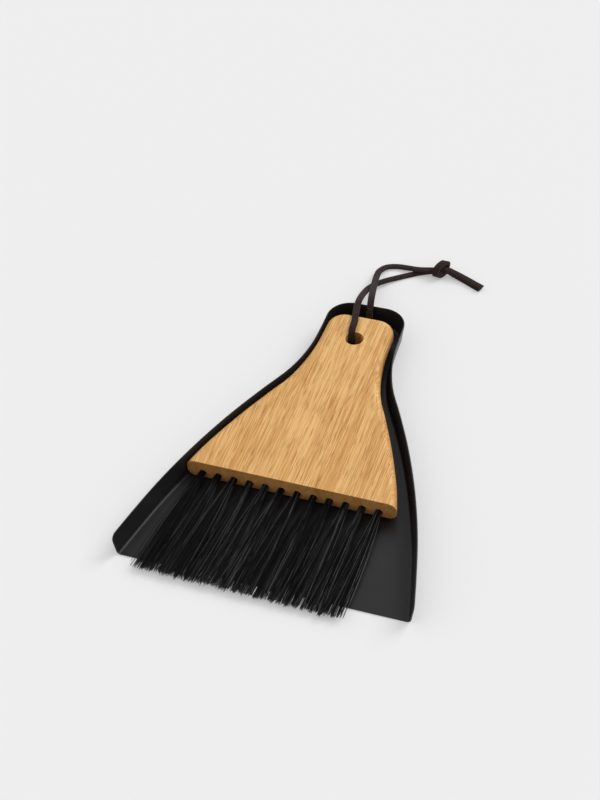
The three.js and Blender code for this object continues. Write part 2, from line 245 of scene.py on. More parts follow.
class Recipe:
    """The node tree of one material, wired with short calls."""

    def __init__(self, name: str, **surface: Any) -> None:
        """Starts a material.

        Args:
            name: The material's name.
            **surface: Constant values of the surface shader, by socket name with underscores.
        """
        self.material = bpy.data.materials.new(name)
        self.material.use_nodes = True
        self.tree = self.material.node_tree
        self.tree.nodes.clear()
        self.surface = self.add("ShaderNodeBsdfPrincipled")
        for key, value in surface.items():
            self.surface.inputs[key.replace("_", " ")].default_value = value
        end = self.add("ShaderNodeOutputMaterial")
        self.tree.links.new(self.surface.outputs["BSDF"], end.inputs["Surface"])

    def add(self, kind: str, inputs: dict[Any, Any] | None = None, **settings: Any) -> bpy.types.Node:
        """Adds a node.

        Args:
            kind: The node's type.
            inputs: Values or sockets for its inputs, by name or number.
            **settings: Its own settings.

        Returns:
            The node.
        """
        node = self.tree.nodes.new(kind)
        for key, value in settings.items():
            setattr(node, key, value)
        for key, value in (inputs or {}).items():
            if isinstance(value, Socket):
                self.tree.links.new(value, node.inputs[key])
            else:
                node.inputs[key].default_value = value
        return node

    def send(self, value: Socket, name: str) -> None:
        """Links a value to one of the surface shader's sockets."""
        self.tree.links.new(value, self.surface.inputs[name])

    def place(self, grain: Triple, turn: float = 0.0) -> Socket:
        """Object coordinates counted in grains.

        Args:
            grain: Size in metres of one unit along each axis.
            turn: Turn about Z in radians.

        Returns:
            The coordinates.
        """
        where = self.add("ShaderNodeTexCoord").outputs["Object"]
        turned = self.add("ShaderNodeMapping", {"Vector": where, "Rotation": (0, 0, turn)})
        counts = tuple(1 / size for size in grain)
        return self.add("ShaderNodeMapping", {"Vector": turned.outputs[0], "Scale": counts}).outputs[0]

    def noise(self, grain: Triple, turn: float = 0.0, detail: float = 2.0, rough: float = 0.5) -> Socket:
        """Returns the value of a noise pattern of that grain and turn."""
        inputs = {"Vector": self.place(grain, turn), "Scale": 1.0, "Detail": detail, "Roughness": rough}
        return self.add("ShaderNodeTexNoise", inputs).outputs["Fac"]

    def math(self, operation: str, first: Any, second: Any = 0.0) -> Socket:
        """Returns the result of one sum on two values."""
        return self.add("ShaderNodeMath", {0: first, 1: second}, operation=operation).outputs[0]

    def span(self, value: Socket, old: Sequence[float], new: Sequence[float] = (0, 1)) -> Socket:
        """Maps a value from an old span to a new one and clamps it there."""
        inputs = {"Value": value, "From Min": old[0], "From Max": old[1], "To Min": new[0], "To Max": new[1]}
        return self.add("ShaderNodeMapRange", inputs, clamp=True).outputs[0]

    def blend(self, share: Any, first: Any, second: Any, how: str = "MIX") -> Socket:
        """Mixes two colours.

        Args:
            share: How much of the second colour.
            first: Colour or socket.
            second: Colour or socket.
            how: The blend type.

        Returns:
            The mixed colour.
        """
        def full(colour: Any) -> Any:
            """Returns a colour with its alpha, or the socket itself."""
            return (*colour, 1.0) if isinstance(colour, tuple) else colour

        inputs = {0: share, 6: full(first), 7: full(second)}
        node = self.add("ShaderNodeMix", inputs, data_type="RGBA", blend_type=how)
        return node.outputs[2]

    def bump(self, height: Socket, depth: float, strength: float = 1.0) -> None:
        """Raises the surface by a height pattern, on top of what is there already."""
        inputs = {"Height": height, "Distance": depth, "Strength": strength}
        normal = self.surface.inputs["Normal"]
        if normal.is_linked:
            inputs["Normal"] = normal.links[0].from_socket
        self.send(self.add("ShaderNodeBump", inputs).outputs[0], "Normal")


@dataclass(frozen=True)
class PowderCoat:
    """Black satin powder coat on sheet steel."""

    colour: Colour = (0.0115, 0.011, 0.012)
    dust: Colour = (0.022, 0.0215, 0.0225)
    pore: float = 0.32 * MM
    cloud: float = 26 * MM

    def material(self) -> Material:
        """Returns the finish as a node material."""
        recipe = Recipe("powder_coat", IOR=1.5, Specular_IOR_Level=0.45)
        cloud = recipe.noise((self.cloud,) * 3, detail=4, rough=0.55)
        pores = recipe.noise((self.pore,) * 3, detail=2, rough=0.6)
        fine = recipe.noise((self.pore / 3,) * 3, detail=1)
        speck = recipe.span(pores, (0.62, 0.74))
        film = recipe.math("MULTIPLY", recipe.span(cloud, (0.42, 0.72)), 0.45)
        recipe.send(recipe.blend(recipe.math("MAXIMUM", speck, film), self.colour, self.dust), "Base Color")
        sheen = recipe.span(cloud, (0.3, 0.7), (0.3, 0.38))
        recipe.send(recipe.math("ADD", sheen, recipe.math("MULTIPLY", pores, 0.08)), "Roughness")
        recipe.bump(pores, 0.03 * MM, 0.5)
        recipe.bump(fine, 0.01 * MM, 0.5)
        return recipe.material


@dataclass(frozen=True)
class Bamboo:
    """Sanded bamboo board, laid up from narrow strips on edge."""

    pale: Colour = (0.95, 0.575, 0.222)
    warm: Colour = (0.66, 0.31, 0.082)
    fleck: Colour = (0.36, 0.165, 0.05)
    knuckle: Colour = (0.52, 0.27, 0.085)
    end_tint: Colour = (0.58, 0.5, 0.42)
    strip: float = 5.4 * MM
    turn: float = 0.0

    def material(self) -> Material:
        """Returns the finish as a node material."""
        recipe = Recipe("bamboo_board", IOR=1.45, Specular_IOR_Level=0.35)
        strips = recipe.add("ShaderNodeSeparateXYZ", {0: recipe.place((self.strip,) * 3, self.turn)})
        wave = recipe.noise((40 * MM, 90 * MM, 40 * MM), self.turn, detail=0)
        across = recipe.math("ADD", strips.outputs[0], recipe.math("MULTIPLY", wave, 0.16))
        number = recipe.math("FLOOR", across)
        chance = recipe.add("ShaderNodeTexWhiteNoise", {"W": number}, noise_dimensions="1D").outputs[0]
        tone = self._tone(recipe, chance)
        colour = recipe.blend(tone, self.pale, self.warm)
        colour = self._knuckles(recipe, colour, strips.outputs[1], chance)
        colour, dashes = self._flecks(recipe, colour)
        colour = self._end_grain(recipe, colour)
        seam = recipe.math("ABSOLUTE", recipe.math("SUBTRACT", recipe.math("FRACT", across), 0.5))
        glue = recipe.span(seam, (0.47, 0.5), (0, 0.22))
        recipe.send(recipe.blend(glue, colour, self.fleck), "Base Color")
        recipe.send(recipe.span(dashes, (0, 1), (0.5, 0.68)), "Roughness")
        recipe.bump(recipe.math("SUBTRACT", 1.0, dashes), 0.035 * MM, 0.5)
        return recipe.material

    def _tone(self, recipe: Recipe, chance: Socket) -> Socket:
        """Returns how warm the wood is: by strip, by streak and by patch."""
        fine = recipe.noise((0.42 * MM, 34 * MM, 0.42 * MM), self.turn, detail=1, rough=0.5)
        streak = recipe.noise((0.95 * MM, 80 * MM, 0.95 * MM), self.turn, detail=2, rough=0.6)
        band = recipe.noise((2.6 * MM, 110 * MM, 5 * MM), self.turn, detail=1)
        patch = recipe.noise((16 * MM, 34 * MM, 16 * MM), self.turn, detail=2)
        parts = (
            recipe.span(chance, (0, 1), (-0.14, 0.26)),
            recipe.span(fine, (0.38, 0.62), (-0.2, 0.46)),
            recipe.span(streak, (0.38, 0.62), (-0.1, 0.52)),
            recipe.span(band, (0.35, 0.65), (-0.12, 0.22)),
            recipe.span(patch, (0.4, 0.68), (-0.07, 0.13)),
        )
        total = parts[0]
        for part in parts[1:]:
            total = recipe.math("ADD", total, part)
        return total

    def _flecks(self, recipe: Recipe, colour: Socket) -> tuple[Socket, Socket]:
        """Draws the dark fibre ends as short dashes along the grain.

        Args:
            recipe: The material being made.
            colour: The colour so far.

        Returns:
            The colour with dashes, and the dashes alone.
        """
        dash = recipe.noise((0.5 * MM, 11 * MM, 0.5 * MM), self.turn, detail=1.5, rough=0.5)
        spread = recipe.noise((7 * MM, 22 * MM, 7 * MM), self.turn, detail=1)
        level = recipe.math("ADD", dash, recipe.span(spread, (0.3, 0.7), (-0.05, 0.05)))
        dashes = recipe.span(level, (0.55, 0.68))
        share = recipe.math("MULTIPLY", dashes, 0.6)
        return recipe.blend(share, colour, self.fleck), dashes

    def _knuckles(self, recipe: Recipe, colour: Socket, along: Socket, chance: Socket) -> Socket:
        """Draws the cane's joints, each strip's at its own place.

        Args:
            recipe: The material being made.
            colour: The colour so far.
            along: Place along the grain, in strip widths.
            chance: Each strip's own random number.

        Returns:
            The colour with the joints.
        """
        shifted = recipe.math("ADD", along, recipe.math("MULTIPLY", chance, 137.0))
        cycle = recipe.math("PINGPONG", shifted, 19.0)
        joint = recipe.span(cycle, (0.0, 0.42), (0.16, 0.0))
        return recipe.blend(joint, colour, self.knuckle)

    def _end_grain(self, recipe: Recipe, colour: Socket) -> Socket:
        """Darkens the sawn ends and speckles them with fibre bundles."""
        cells = recipe.add(
            "ShaderNodeTexVoronoi", {"Vector": recipe.place((0.85 * MM, 30 * MM, 0.85 * MM), self.turn)}
        )
        dots = recipe.span(cells.outputs["Distance"], (0.2, 0.34), (0.75, 0.0))
        sawn = recipe.blend(1.0, recipe.blend(dots, colour, self.fleck), self.end_tint, "MULTIPLY")
        facing = recipe.add("ShaderNodeSeparateXYZ", {0: recipe.add("ShaderNodeTexCoord").outputs["Normal"]})
        share = recipe.span(recipe.math("ABSOLUTE", facing.outputs[1]), (0.72, 0.9))
        return recipe.blend(share, colour, sawn)


@dataclass(frozen=True)
class Filament:
    """Black synthetic bristle with a soft sheen."""

    dark: Colour = (0.0032, 0.0032, 0.0036)
    # painted highlight: the grey that glinting filaments are given in their base colour
    grey: Colour = (0.13, 0.125, 0.13)
    # painted highlight on the filament tips, where the cut ends catch light
    cut: Colour = (0.05, 0.049, 0.05)
    bright_from: float = 0.55
    bright_power: float = 3.0

    def material(self) -> Material:
        """Returns the finish as a node material."""
        recipe = Recipe("bristle_filament", IOR=1.5)
        tone = recipe.add("ShaderNodeAttribute", attribute_name="tone").outputs["Fac"]
        along = recipe.add("ShaderNodeAttribute", attribute_name="along").outputs["Fac"]
        # painted highlight: chosen filaments are mixed towards grey as glints, broken into patches along
        # their length
        glint_patches = recipe.noise((1.2 * MM, 6 * MM, 1.2 * MM), detail=1)
        glint = recipe.math("POWER", recipe.span(tone, (self.bright_from, 1.0)), self.bright_power)
        share = recipe.math("MULTIPLY", glint, recipe.span(glint_patches, (0.35, 0.65), (0.5, 1.0)))
        body = recipe.blend(share, self.dark, self.grey)
        # painted highlight: the last bit of each filament is lightened towards the tip colour
        recipe.send(recipe.blend(recipe.span(along, (0.975, 1.0)), body, self.cut), "Base Color")
        recipe.send(recipe.span(glint, (0, 1), (0.5, 0.3)), "Roughness")
        recipe.send(recipe.span(glint, (0, 1), (0.1, 0.6)), "Specular IOR Level")
        return recipe.material


@dataclass(frozen=True)
class DrawnWire:
    """Plain drawn steel wire."""

    bright: Colour = (0.62, 0.62, 0.64)
    dull: Colour = (0.36, 0.35, 0.35)

    def material(self) -> Material:
        """Returns the finish as a node material."""
        recipe = Recipe("drawn_wire", Metallic=1.0)
        lines = recipe.noise((0.6 * MM, 0.08 * MM, 0.08 * MM), detail=2)
        recipe.send(recipe.blend(recipe.span(lines, (0.35, 0.7)), self.bright, self.dull), "Base Color")
        recipe.send(recipe.span(lines, (0.3, 0.7), (0.28, 0.45)), "Roughness")
        recipe.bump(lines, 0.01 * MM, 0.4)
        return recipe.material


@dataclass(frozen=True)
class Suede:
    """Dark brown suede lace."""

    nap: Colour = (0.045, 0.028, 0.023)
    deep: Colour = (0.014, 0.0085, 0.007)

    def material(self) -> Material:
        """Returns the finish as a node material."""
        recipe = Recipe("suede_lace", IOR=1.4, Specular_IOR_Level=0.1, Sheen_Weight=0.12, Sheen_Roughness=0.5)
        patches = recipe.noise((2.4 * MM,) * 3, detail=3, rough=0.6)
        fibres = recipe.noise((0.22 * MM,) * 3, detail=3, rough=0.65)
        level = recipe.math("ADD", *(recipe.math("MULTIPLY", part, 0.5) for part in (patches, fibres)))
        recipe.send(recipe.blend(recipe.span(level, (0.36, 0.64)), self.deep, self.nap), "Base Color")
        recipe.send(recipe.span(fibres, (0.3, 0.7), (0.85, 1.0)), "Roughness")
        recipe.bump(fibres, 0.12 * MM, 0.7)
        return recipe.material


@dataclass(frozen=True)
class Backdrop:
    """Matt pale studio floor."""

    colour: Colour = (0.66, 0.66, 0.66)
    glow: float = 0.28  # evens the floor out, as a white table with light under it does

    def material(self) -> Material:
        """Returns the finish as a node material."""
        recipe = Recipe("studio_floor", Roughness=0.95, Specular_IOR_Level=0.1)
        recipe.surface.inputs["Base Color"].default_value = (*self.colour, 1)
        recipe.surface.inputs["Emission Color"].default_value = (1, 1, 1, 1)
        recipe.surface.inputs["Emission Strength"].default_value = self.glow
        return recipe.material


# shared outline


@dataclass(frozen=True)
class Bell:
    """Plan outline that tray and brush share: wide at the mouth, straight at the grip."""

    length: float = 220.5 * MM
    mouth_half: float = 84.2 * MM
    grip_half: float = 22.7 * MM
    # share of the flare that is left at every tenth of the length
    flare: tuple[float, ...] = (1, 0.925, 0.841, 0.736, 0.611, 0.465, 0.297, 0.121, 0.026, 0.002, 0)

    def side(self, steps: int) -> list[tuple[float, float]]:
        """Walks the right-hand side from the mouth to the rear.

        Args:
            steps: Points for each tenth of the length.

        Returns:
            Half width and y of each point.
        """
        tenths = len(self.flare) - 1
        knots = [(share, i / tenths) for i, share in enumerate(self.flare)]
        line = []
        for i in range(tenths):
            quad = [knots[j] for j in (max(i - 1, 0), i, i + 1, min(i + 2, tenths))]
            for step in range(steps):
                line.append(self._between(quad, step / steps))
        line.append(knots[-1])
        width = self.mouth_half - self.grip_half
        return [(self.grip_half + width * share, self.length * y) for share, y in line]

    @staticmethod
    def _between(quad: Sequence[tuple[float, float]], t: float) -> tuple[float, float]:
        """Returns the point at t between the middle two of four points, on a smooth line."""
        def one(a: float, b: float, c: float, d: float) -> float:
            """Returns one coordinate of that point."""
            rise, bend, turn = c - a, 2 * a - 5 * b + 4 * c - d, 3 * b - a - 3 * c + d
            return 0.5 * (2 * b + rise * t + bend * t * t + turn * t**3)

        return one(*(p[0] for p in quad)), one(*(p[1] for p in quad))

    def half_width(self, y: float) -> float:
        """Returns the half width at y."""
        widths, places = zip(*self.side(8))
        return float(np.interp(y, places, widths))


# tray


@dataclass
class Tray:
    """Dust pan bent and drawn from one steel sheet, with its wall leaning outwards."""

    bell: Bell
    finish: PowderCoat
    sheet: float = 0.8 * MM
    wall_top: float = 14.4 * MM
    wall_lean: float = 1.9 * MM
    fold_radius: float = 1.6 * MM
    rear_radius: float = 12.6 * MM
    tip_radius: float = 5 * MM
    edge_radius: float = 0.22 * MM
    lead: float = 5 * MM  # the plan starts this far before the mouth and is cut there

    def build(self) -> Piece:
        """Models the tray and puts it on its body.

        Returns:
            The finished piece.
        """
        work = sweep_plan("tray_shell", self._stations(), self.sheet)
        self._round_rear(work)
        self._raise_wall(work)
        self._cut_mouth(work)
        self._thicken(work)
        dressed(work.piece, self.finish.material())
        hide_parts("pan_tray")
        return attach(work.piece, "pan")

    def _stations(self) -> list[tuple[float, float]]:
        """Returns the plan's cross lines, from before the mouth to the rear wall."""
        line = self.bell.side(4)
        corner = self.bell.length - self.rear_radius
        (half, _), (next_half, next_y) = line[:2]
        slope = (half - next_half) / next_y
        kept = [point for point in line[1:] if point[1] < corner - MM]
        start = (half + slope * self.lead, -self.lead)
        return [start, *kept, (self.bell.grip_half, corner), (self.bell.grip_half, self.bell.length)]

    def _round_rear(self, work: Work) -> None:
        """Rounds the two rear corners in plan."""
        rear = self.bell.length
        work.pick(Element.VERTS, lambda vert: abs(vert.co.y - rear) < TOUCH)
        work.round_corners(self.rear_radius, 10)

    def _raise_wall(self, work: Work) -> None:
        """Draws the wall up from the plan's edge, leans it out and rounds the fold."""
        front = -self.lead
        work.pick(
            Element.EDGES,
            lambda edge: edge.is_boundary and any(vert.co.y > front + TOUCH for vert in edge.verts),
        )
        work.extrude(0, 0, self.wall_top - self.sheet)
        self._lean(work)
        work.pick(
            Element.EDGES,
            lambda edge: len(edge.link_faces) == 2
            and edge.calc_face_angle(0) > math.radians(45)
            and abs(middle(edge).z - self.sheet) < TOUCH,
        )
        work.round_edges(self.fold_radius, 5)

    def _lean(self, work: Work) -> None:
        """Moves the rim out along the plan's normals."""
        shape = bmesh.from_edit_mesh(work.piece.data)
        shape.normal_update()
        rim = [vert for vert in shape.verts if vert.select]
        moves = {}
        for vert in rim:
            out = Vector((vert.normal.x, vert.normal.y, 0)).normalized()
            centre = Vector((0, min(vert.co.y, self.bell.length - self.rear_radius), vert.co.z))
            moves[vert] = out if out.dot(vert.co - centre) > 0 else -out
        for vert, out in moves.items():
            vert.co += self.wall_lean * out
        bmesh.update_edit_mesh(work.piece.data)

    def _cut_mouth(self, work: Work) -> None:
        """Cuts the plan off at the mouth and rounds the walls' upper front corners."""
        Work.take_all()
        bpy.ops.mesh.bisect(plane_co=(0, 0, 0), plane_no=(0, 1, 0), clear_inner=True)
        work.pick(
            Element.VERTS,
            lambda vert: abs(vert.co.y) < TOUCH and abs(vert.co.z - self.wall_top) < TOUCH,
        )
        work.round_corners(self.tip_radius, 8)

    def _thicken(self, work: Work) -> None:
        """Turns the skin into sheet and eases its cut edges."""
        shape = bmesh.from_edit_mesh(work.piece.data)
        shape.normal_update()
        floor = max(shape.faces, key=lambda face: face.calc_area())
        upside_down = floor.normal.z < 0
        Work.take_all()
        if upside_down:
            bpy.ops.mesh.flip_normals()
        work.modify("SOLIDIFY", thickness=self.sheet, offset=-1, use_even_offset=True)
        work.modify(
            "BEVEL", width=self.edge_radius, segments=2, limit_method="ANGLE", angle_limit=math.radians(50)
        )
        work.smooth(SHADE_ANGLE)


# brush block


@dataclass
class Block:
    """Bamboo back of the brush, cut to the tray's bell with a little room around it."""

    bell: Bell
    finish: Bamboo
    origin: Vector = field(default_factory=lambda: Vector((-3.8, 65.5, 1.9)) * MM)
    yaw: float = math.radians(-1.05)
    tilt: float = math.radians(0.7)
    roll: float = math.radians(-0.75)
    end_clearance: float = 8.5 * MM
    flare_clearance: float = 3.7 * MM
    grip_clearance: float = 1.1 * MM
    clearance_fade: float = 0.2
    draw_in: float = 0.8 * MM
    draw_length: float = 18 * MM
    thickness: float = 12.5 * MM
    side_radius: float = 5 * MM
    front_ease: float = 0.35 * MM
    lead: float = 9 * MM  # the plan starts this far before the front face and is cut there
    end_radius: float = 11.2 * MM
    hang_radius: float = 5.7 * MM
    hang_from_end: float = 22.8 * MM
    hang_offset: float = 0.2 * MM
    hang_ease: float = 0.6 * MM
    tuft_count: int = 12
    tuft_pitch: float = 9.73 * MM
    tuft_shift: float = -0.4 * MM
    tuft_radius: float = 2.25 * MM
    tuft_depth: float = 13 * MM
    tuft_drop: float = 8.5 * MM
    overcut: float = 5 * MM

    @property
    def length(self) -> float:
        """Front face to the end of the handle."""
        return self.bell.length - self.origin.y - self.end_clearance

    @property
    def matrix(self) -> Matrix:
        """How the block lies in the tray."""
        turn = Matrix.Rotation(self.yaw, 4, "Z") @ Matrix.Rotation(self.tilt, 4, "X")
        return Matrix.Translation(self.origin) @ turn @ Matrix.Rotation(self.roll, 4, "Y")

    @property
    def tuft_height(self) -> float:
        """Height of the tuft holes over the block's underside."""
        return self.thickness - self.tuft_drop

    def tuft_x(self, number: int, pitch: float, shift: float) -> float:
        """Returns where a tuft of the row stands across the block, for that pitch and shift."""
        return (number - (self.tuft_count - 1) / 2) * pitch + shift

    def half_width(self, y: float) -> float:
        """Returns the block's half width at y from its front face."""
        room = self.bell.half_width(self.origin.y + y)
        flare = (room - self.bell.grip_half) / (self.bell.mouth_half - self.bell.grip_half)
        fade = min(max(flare / self.clearance_fade, 0), 1)
        drawn = self.draw_in * max(0, 1 - y / self.draw_length) ** 2
        return room - drawn - (self.grip_clearance + fade * (self.flare_clearance - self.grip_clearance))

    def build(self) -> Piece:
        """Models the block and puts it on its body.

        Returns:
            The finished piece.
        """
        work = sweep_plan("bamboo_back", self._stations(), 0)
        self._round_plan(work)
        Work.take_all()
        work.extrude(0, 0, self.thickness)
        work.outwards()
        self._round_over(work)
        self._cut_front(work)
        self._drill(work)
        self._ease_hang_hole(work)
        work.smooth(SHADE_ANGLE)
        work.place(self.matrix)
        dressed(work.piece, self.finish.material())
        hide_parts("brush_block")
        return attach(work.piece, "brush")

    def _stations(self) -> list[tuple[float, float]]:
        """Returns the plan's cross lines, from before the front face to the end of the handle."""
        end = self.length - self.end_radius
        count = 34
        line = [(self.half_width(y), float(y)) for y in np.linspace(0, end, count)]
        (half, _), (next_half, next_y) = line[:2]
        start = (half + (half - next_half) / next_y * self.lead, -self.lead)
        return [start, *line, (self.half_width(end), self.length)]

    def _round_plan(self, work: Work) -> None:
        """Rounds the handle's end in plan."""
        work.pick(Element.VERTS, lambda vert: abs(vert.co.y - self.length) < TOUCH)
        work.round_corners(self.end_radius, 12)

    def _round_over(self, work: Work) -> None:
        """Rounds the sides over, top and bottom."""
        def rim(edge: Any) -> bool:
            """Says whether an edge runs round the top or the underside."""
            level = abs(edge.verts[0].co.z - edge.verts[1].co.z) < TOUCH
            return level and len(edge.link_faces) == 2 and edge.calc_face_angle(0) > SHARP

        work.pick(Element.EDGES, rim)
        work.round_edges(self.side_radius, 9)

    def _cut_front(self, work: Work) -> None:
        """Cuts the front face flat and eases its edge."""
        Work.take_all()
        bpy.ops.mesh.bisect(plane_co=(0, 0, 0), plane_no=(0, 1, 0), use_fill=True, clear_inner=True)
        work.outwards()

        def lip(edge: Any) -> bool:
            """Says whether an edge runs round the front face."""
            in_face = all(abs(vert.co.y) < TOUCH for vert in edge.verts)
            return in_face and edge.calc_face_angle(0) > SHARP

        work.pick(Element.EDGES, lip)
        work.round_edges(self.front_ease, 3)

    def _drill(self, work: Work) -> None:
        """Drills the tuft holes and the hanging hole."""
        work.clear()
        cutters = []
        for number in range(self.tuft_count):
            bpy.ops.mesh.primitive_cylinder_add(
                vertices=24,
                radius=self.tuft_radius,
                depth=self.tuft_depth + self.overcut,
                location=(
                    self.tuft_x(number, self.tuft_pitch, self.tuft_shift),
                    (self.tuft_depth - self.overcut) / 2,
                    self.tuft_height,
                ),
                rotation=(math.pi / 2, 0, 0),
            )
            cutters.append(bpy.context.active_object)
        bpy.ops.mesh.primitive_cylinder_add(
            vertices=64,
            radius=self.hang_radius,
            depth=self.thickness + 2 * self.overcut,
            location=(self.hang_offset, self.length - self.hang_from_end, self.thickness / 2),
        )
        cutters.append(bpy.context.active_object)
        for cutter in cutters:
            cutter.select_set(True)
        bpy.ops.object.join()
        drill = bpy.context.active_object
        work.modify("BOOLEAN", operation="DIFFERENCE", solver="EXACT", object=drill, use_self=False)
        bpy.data.objects.remove(drill)

    def _ease_hang_hole(self, work: Work) -> None:
        """Eases the two edges of the hanging hole."""
        centre = Vector((self.hang_offset, self.length - self.hang_from_end, 0))

        def lip(edge: Any) -> bool:
            """Says whether an edge lies on the lip of the hanging hole."""
            level = abs(edge.verts[0].co.z - edge.verts[1].co.z) < TOUCH
            near = all(
                abs((Vector((vert.co.x, vert.co.y, 0)) - centre).length - self.hang_radius) < 10 * TOUCH
                for vert in edge.verts
            )
            return level and near and edge.calc_face_angle(0) > SHARP

        work.edit()
        work.pick(Element.EDGES, lip)
        work.round_edges(self.hang_ease, 4)


# bristles


@dataclass
class TuftRow:
    """Twelve tufts of loose filaments, fanning out over the mouth of the tray."""

    block: Block
    finish: Filament
    filaments: int = 190
    radius: float = 0.125 * MM
    clumps: int = 9
    sides: int = 4
    overhang: float = 7.8 * MM
    root_depth: float = 9.8 * MM
    root_fill: float = 0.87
    fan: float = 1.017
    lean: float = -6.4 * MM
    tip_height: float = 3.2 * MM
    tip_half_thickness: float = 1.7 * MM
    stations: tuple[float, ...] = (0.0, 0.1, 0.24, 0.42, 0.62, 0.82, 0.978, 1.0)
    clump_jitter: float = 0.1
    own_spread: float = 0.12
    stray_share: float = 0.14
    stray_spread: float = 0.45
    short_share: float = 0.12
    short_by: float = 5 * MM
    clump_ragged: float = 0.45 * MM
    own_ragged: float = 0.75 * MM
    bow: float = 0.55 * MM
    rise: float = 0.2 * MM
    grey_gain: float = 0.12  # tufts on the right catch more light
    seed: int = 11

    def build(self) -> list[Piece]:
        """Models the tufts and puts them on the brush.

        Returns:
            The twelve pieces.
        """
        material = self.finish.material()
        strand, faces = self._strand()
        random = np.random.default_rng(self.seed)
        tufts = []
        for number in range(self.block.tuft_count):
            tuft = self._tuft(number, strand, faces, random)
            dressed(tuft, material)
            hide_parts(f"tuft_{number + 1:02d}")
            tufts.append(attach(tuft, "brush"))
        return tufts

    def _strand(self) -> tuple[np.ndarray, list[tuple[int, ...]]]:
        """Models one straight filament of unit length along -Y.

        Returns:
            Its rings of points, and the faces of the whole filament.
        """
        Work.clear()
        bpy.ops.mesh.primitive_circle_add(
            vertices=self.sides, radius=self.radius, fill_type="NGON", rotation=(math.pi / 2, 0, 0)
        )
        work = Work("one_filament")
        work.place(work.piece.matrix_world.copy())
        work.edit()
        Work.take_all()
        for _ in self.stations:
            work.extrude(0, -1, 0)
        work.outwards()
        work.clear()
        mesh = work.piece.data
        rings = np.array([vert.co for vert in mesh.vertices]).reshape(-1, 3)
        order = np.argsort(np.round(-rings[:, 1]), kind="stable")
        place = {int(old): new for new, old in enumerate(order)}
        faces = [tuple(place[i] for i in face.vertices) for face in mesh.polygons]
        rings = rings[order].reshape(len(self.stations) + 1, self.sides, 3)
        bpy.data.objects.remove(work.piece)
        return rings, faces

    def _lines(self, number: int, random: np.random.Generator) -> np.ndarray:
        """Draws the middle lines of one tuft's filaments.

        Args:
            number: Place of the tuft in the row.
            random: The source of chance.

        Returns:
            Points by filament and station, in the block's own frame.
        """
        block, count = self.block, self.filaments
        length = block.origin.y + self.overhang
        root_x = block.tuft_x(number, block.tuft_pitch, block.tuft_shift)
        tip_x = block.tuft_x(number, block.tuft_pitch * self.fan, self.lean)
        root = block.tuft_radius * self.root_fill - self.radius
        turn = GOLDEN_ANGLE * np.arange(count)
        reach = root * np.sqrt((np.arange(count) + 0.5) / count)
        root_dx, root_dz = reach * np.cos(turn), reach * np.sin(turn)
        room = block.tuft_pitch * self.fan / 2
        clump = np.argsort(np.argsort(root_dx + random.normal(0, 0.25 * root, count))) * self.clumps // count
        gathered = np.linspace(-0.95, 0.95, self.clumps) + random.normal(0, self.clump_jitter, self.clumps)
        astray = random.random(count) < self.stray_share
        strays = np.where(astray, random.normal(0, self.stray_spread, count), 0)
        side = np.clip(gathered[clump] + random.normal(0, self.own_spread, count) + strays, -1.5, 1.5)
        tip_dx = room * side
        heights = random.normal(0, 0.5, self.clumps)
        layer = np.clip(0.5 * root_dz / root + heights[clump] + random.normal(0, 0.25, count), -1, 1)
        droop = length * math.tan(block.tilt) + tip_x * math.tan(block.roll) - block.origin.z
        tip_z = self.tip_height + droop + layer * self.tip_half_thickness
        reach_y = length + random.normal(0, self.clump_ragged, self.clumps)[clump]
        reach_y += random.normal(0, self.own_ragged, count)
        short = random.random(count) < self.short_share
        reach_y -= np.where(short, self.short_by * random.random(count), 0)
        bow = random.normal(0, self.bow, count)
        rise = random.normal(0, self.rise, count)
        lines = np.zeros((count, len(self.stations) + 1, 3))
        start_z = block.tuft_height + root_dz
        lines[:, 0] = np.stack([root_x + root_dx, np.full(count, self.root_depth), start_z], 1)
        for index, along in enumerate(self.stations, start=1):
            spread = min(1, along * (1.55 - 0.55 * along))
            settle = along * (2 - along)
            swing = math.sin(math.pi * along)
            lines[:, index, 0] = root_x + (tip_x - root_x) * along
            lines[:, index, 0] += root_dx + (tip_dx - root_dx) * spread + bow * swing
            lines[:, index, 1] = -reach_y * along
            lines[:, index, 2] = start_z + (tip_z - start_z) * settle + rise * swing
        return lines

    def _tuft(
        self, number: int, strand: np.ndarray, faces: list[tuple[int, ...]], random: np.random.Generator
    ) -> Piece:
        """Copies the filament along every line of one tuft.

        Args:
            number: Place of the tuft in the row.
            strand: Rings of the straight filament.
            faces: Its faces.
            random: The source of chance.

        Returns:
            The tuft, in the tray's frame.
        """
        lines = self._lines(number, random)
        section = strand.copy()
        section[:, :, 1] = 0
        points = lines[:, :, None, :] + section[None]
        per_strand = strand.shape[0] * strand.shape[1]
        everything = points.reshape(-1, 3)
        matrix = np.array(self.block.matrix)
        everything = everything @ matrix[:3, :3].T + matrix[:3, 3]
        shifts = per_strand * np.arange(self.filaments)
        all_faces = [tuple(i + shift for i in face) for shift in shifts for face in faces]
        piece = from_arrays(f"bristle_tuft_{number + 1:02d}", everything, all_faces)
        bright = random.random(self.filaments) + self.grey_gain * (number / self.block.tuft_count - 0.5)
        tone = np.repeat(np.clip(bright, 0, 1), per_strand)
        along = np.tile(np.repeat((0.0, *self.stations), self.sides), self.filaments)
        for name, values in (("tone", tone), ("along", along)):
            attribute = piece.data.attributes.new(name, "FLOAT", "POINT")
            attribute.data.foreach_set("value", values.astype(np.float32))
        return piece


# lace


